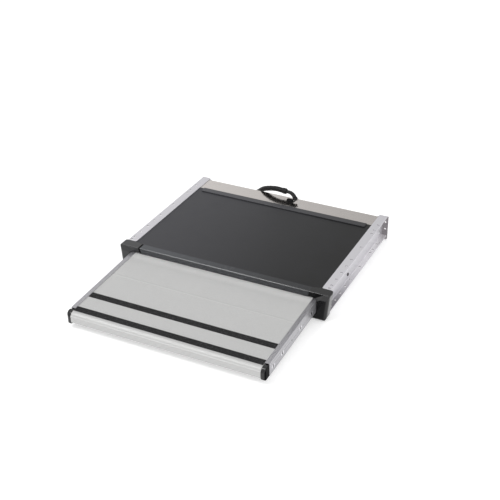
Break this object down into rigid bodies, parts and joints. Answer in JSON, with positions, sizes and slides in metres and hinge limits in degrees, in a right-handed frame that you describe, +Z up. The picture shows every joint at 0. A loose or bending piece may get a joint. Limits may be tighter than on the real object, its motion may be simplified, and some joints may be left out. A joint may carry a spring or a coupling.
{
  "type": "caravan pull out step",
  "caption": "flat cassette for under a caravan's floor with a powered step that slides out: ribbed aluminium tread, grip strips, toothed racks, spindle drive and a cable",
  "frame": {"origin": "on the ground plane, in the middle of the rigid pieces' width and of their length with the step pulled out", "axes": "+X to the step's right as seen by somebody standing in front of it and facing it, +Y from the step's nose back towards the cassette's rear, +Z up"},
  "size_m": [0.616, 0.8195, 0.1018],
  "materials": {
    "rail_aluminium": "satin anodised",
    "cover_black": "fine matt coating",
    "lid_steel": "polished, slightly warm",
    "graphite_coat": "satin coating",
    "cap_plastic": "gloss with fine moulding texture",
    "coated_steel": "zinc coated, dull",
    "steel": "machined",
    "fastener_steel": "zinc plated",
    "tread_aluminium": "ribbed, satin anodised",
    "step_aluminium": "satin anodised",
    "grip_tape": "coarse grit",
    "black_plastic": "moulded",
    "white_glide": "self-lubricating",
    "black_rubber": "matt",
    "bush_bronze": "sintered",
    "motor_steel": "satin paint",
    "gearbox_cast": "die cast",
    "wire_insulation": "smooth"
  },
  "bodies": {
    "housing": {"left_side_rail": "rail_aluminium", "right_side_rail": "rail_aluminium", "top_cover": "cover_black", "cover_rear_trim": "cover_black", "rear_plate": "lid_steel", "rear_panel": "coated_steel", "base_pan": "coated_steel", "front_profile": "graphite_coat", "lower_front_bar": "step_aluminium", "left_end_cap": "cap_plastic", "right_end_cap": "cap_plastic", "left_rear_bracket": "coated_steel", "right_rear_bracket": "coated_steel", "left_guide_track": "step_aluminium", "right_guide_track": "step_aluminium", "left_rack": "steel", "right_rack": "steel", "wiper_seal": "black_rubber", "mouth_glides": "black_plastic", "front_stops": "black_rubber", "rear_stops": "black_rubber", "drive_motor": "motor_steel", "gearbox": "gearbox_cast", "motor_bracket": "coated_steel", "spindle_bearing": "black_plastic", "track_rivets": "fastener_steel", "bracket_rivets": "fastener_steel", "web_screws": "fastener_steel", "pan_screws": "fastener_steel", "cable_gland": "black_plastic", "cable_sleeve": "black_plastic", "sleeve_tape": "black_rubber", "cable_wires": "wire_insulation", "wire_connector": "black_plastic"},
    "step": {"front_tread_plank": "tread_aluminium", "rear_tread_plank": "tread_aluminium", "front_grip_strip": "grip_tape", "rear_grip_strip": "grip_tape", "left_step_rail": "step_aluminium", "right_step_rail": "step_aluminium", "left_nose_cap": "cap_plastic", "right_nose_cap": "cap_plastic", "side_screws": "fastener_steel", "tail_beam": "step_aluminium", "spindle_nut": "black_plastic", "slide_shoes": "white_glide", "shaft_bushes": "bush_bronze"},
    "sync_shaft": {"sync_shaft": "steel", "sync_pinions": "steel"},
    "spindle": {"drive_spindle": "steel"}
  },
  "joints": [
    {"name": "step_slide", "type": "slide", "parent": "housing", "child": "step", "axis": [0, 0.9994, 0.0349], "range_m": [0, 0.285]},
    {"name": "sync_spin", "type": "hinge", "parent": "step", "child": "sync_shaft", "pos_m": [0, 0.03585, 0.03435], "axis": [1, 0, 0], "range_deg": [-5, 1900]},
    {"name": "spindle_spin", "type": "hinge", "parent": "housing", "child": "spindle", "pos_m": [0, 0.12219, 0.0264], "axis": [0, 0.9994, 0.0349], "range_deg": [-10300, 10]}
  ],
  "couplings": [
    {"joint": "sync_spin", "follows": "step_slide", "rad_per_m": 114.29},
    {"joint": "spindle_spin", "follows": "step_slide", "rad_per_m": -628.32}
  ]
}
